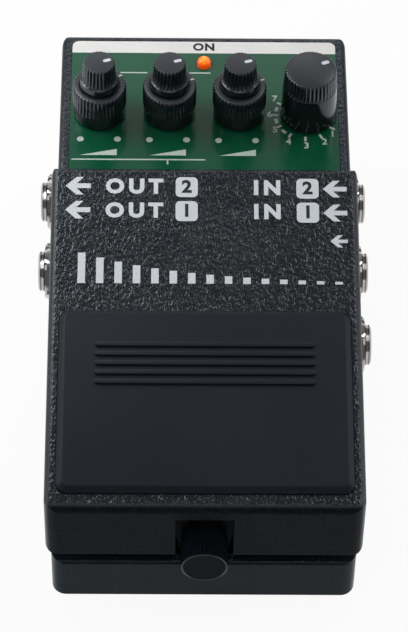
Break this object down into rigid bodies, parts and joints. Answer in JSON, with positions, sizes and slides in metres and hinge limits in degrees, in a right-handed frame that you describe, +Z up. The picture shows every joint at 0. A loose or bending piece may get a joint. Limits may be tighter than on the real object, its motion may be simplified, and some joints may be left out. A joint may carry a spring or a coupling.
{
  "type": "delay pedal",
  "caption": "Compact guitar delay pedal: die-cast base, sprung foot treadle with a rubber pad, stacked knobs and a mode selector on a green panel, side jacks, rear power inlet.",
  "frame": {"origin": "centre of the footprint, on the mat's resting face", "axes": "+X to the player's right, +Y to the rear, where the knobs are, +Z up"},
  "size_m": [0.073, 0.129, 0.059],
  "materials": {
    "base_paint": "fine wrinkle paint, satin",
    "treadle_paint": "coarse wrinkle paint, satin",
    "pad_rubber": "matte moulded rubber",
    "mat_rubber": "matte rubber sheet",
    "plate_steel": "zinc-plated sheet",
    "panel_enamel": "dark green semi-gloss enamel with a pale metal strip",
    "lamp_amber": "clear amber lens, lit",
    "knob_black": "matte moulded plastic",
    "shaft_metal": "turned",
    "pot_metal": "plated",
    "nickel": "nickel plate",
    "jack_body": "moulded body with a plated neck",
    "inlet_black": "moulded",
    "board_green": "solder mask",
    "chip_black": "moulded",
    "brass": "turned",
    "screw_steel": "plated",
    "spring_steel": "bright wire",
    "bush_nylon": "natural nylon",
    "thumb_black": "black oxide, knurled",
    "battery_can": "plain printed can",
    "snap_black": "vinyl",
    "lead_red": "insulated wire",
    "ribbon_grey": "flat cable",
    "header_ivory": "moulded"
  },
  "bodies": {
    "base": {"base_casting": "base_paint", "bottom_plate": "plate_steel", "base_mat": "mat_rubber", "bottom_screws": "screw_steel", "hinge_rod": "screw_steel", "return_spring": "spring_steel", "panel_plate": "panel_enamel", "lamp_lens": "lamp_amber", "lamp_holder": "inlet_black", "selector_switch": "pot_metal", "pot_nuts": "nickel", "jack_nuts": "nickel", "jack_washers": "nickel", "power_inlet": "inlet_black", "main_board": "board_green", "board_chips": "chip_black", "board_standoffs": "brass", "board_screws": "screw_steel", "control_board": "board_green", "board_ribbon": "ribbon_grey", "ribbon_headers": "header_ivory", "foot_switch": "inlet_black", "switch_screws": "screw_steel", "battery": "battery_can", "battery_snap": "snap_black", "snap_leads": "lead_red", "pot_left": "pot_metal", "pot_middle": "pot_metal", "pot_right": "pot_metal", "jack_left_rear": "jack_body", "jack_left_front": "jack_body", "jack_right_rear": "jack_body", "jack_right_middle": "jack_body", "jack_right_front": "jack_body"},
    "treadle": {"treadle": "treadle_paint", "treadle_pad": "pad_rubber"},
    "guide_bush": {"guide_bush": "bush_nylon"},
    "thumbscrew": {"thumbscrew": "thumb_black"},
    "switch_plunger": {"switch_plunger": "bush_nylon"},
    "selector": {"selector_knob": "knob_black", "selector_shaft": "shaft_metal"},
    "ring_left": {"ring_knob_left": "knob_black", "ring_shaft_left": "shaft_metal"},
    "cap_left": {"cap_knob_left": "knob_black", "cap_shaft_left": "shaft_metal"},
    "ring_middle": {"ring_knob_middle": "knob_black", "ring_shaft_middle": "shaft_metal"},
    "cap_middle": {"cap_knob_middle": "knob_black", "cap_shaft_middle": "shaft_metal"},
    "ring_right": {"ring_knob_right": "knob_black", "ring_shaft_right": "shaft_metal"},
    "cap_right": {"cap_knob_right": "knob_black", "cap_shaft_right": "shaft_metal"}
  },
  "joints": [
    {"name": "treadle_press", "type": "hinge", "parent": "base", "child": "treadle", "pos_m": [0, 0.01113, 0.03818], "axis": [1, 0, 0], "range_deg": [0, 2.2], "stiffness_Nm_per_rad": 4, "springref_deg": -8.59, "deforming": ["return_spring"]},
    {"name": "plunger_slide", "type": "slide", "parent": "base", "child": "switch_plunger", "axis": [0, 0, -1], "range_m": [0, 0.00075]},
    {"name": "bush_slide", "type": "slide", "parent": "base", "child": "guide_bush", "axis": [0, -1, 0], "range_m": [0, 0.0042]},
    {"name": "thumbscrew_turn", "type": "hinge", "parent": "guide_bush", "child": "thumbscrew", "pos_m": [0, -0.06, 0.01946], "axis": [0, -1, 0], "range_deg": [0, 2160.5]},
    {"name": "ring_left_turn", "type": "hinge", "parent": "base", "child": "ring_left", "pos_m": [-0.0231, 0.03836, 0.0426], "axis": [0, 0, 1], "range_deg": [-78, 222]},
    {"name": "cap_left_turn", "type": "hinge", "parent": "base", "child": "cap_left", "pos_m": [-0.0231, 0.03836, 0.0426], "axis": [0, 0, 1], "range_deg": [-78, 222]},
    {"name": "ring_middle_turn", "type": "hinge", "parent": "base", "child": "ring_middle", "pos_m": [-0.0077, 0.03836, 0.0426], "axis": [0, 0, 1], "range_deg": [-78, 222]},
    {"name": "cap_middle_turn", "type": "hinge", "parent": "base", "child": "cap_middle", "pos_m": [-0.0077, 0.03836, 0.0426], "axis": [0, 0, 1], "range_deg": [-78, 222]},
    {"name": "ring_right_turn", "type": "hinge", "parent": "base", "child": "ring_right", "pos_m": [0.0077, 0.03836, 0.0426], "axis": [0, 0, 1], "range_deg": [-78, 222]},
    {"name": "cap_right_turn", "type": "hinge", "parent": "base", "child": "cap_right", "pos_m": [0.0077, 0.03836, 0.0426], "axis": [0, 0, 1], "range_deg": [-78, 222]},
    {"name": "selector_turn", "type": "hinge", "parent": "base", "child": "selector", "pos_m": [0.0231, 0.03836, 0.0426], "axis": [0, 0, 1], "range_deg": [0, 300]}
  ],
  "couplings": [
    {"joint": "plunger_slide", "follows": "treadle_press", "m_per_rad": 0.019},
    {"joint": "thumbscrew_turn", "follows": "bush_slide", "rad_per_m": 8976}
  ]
}
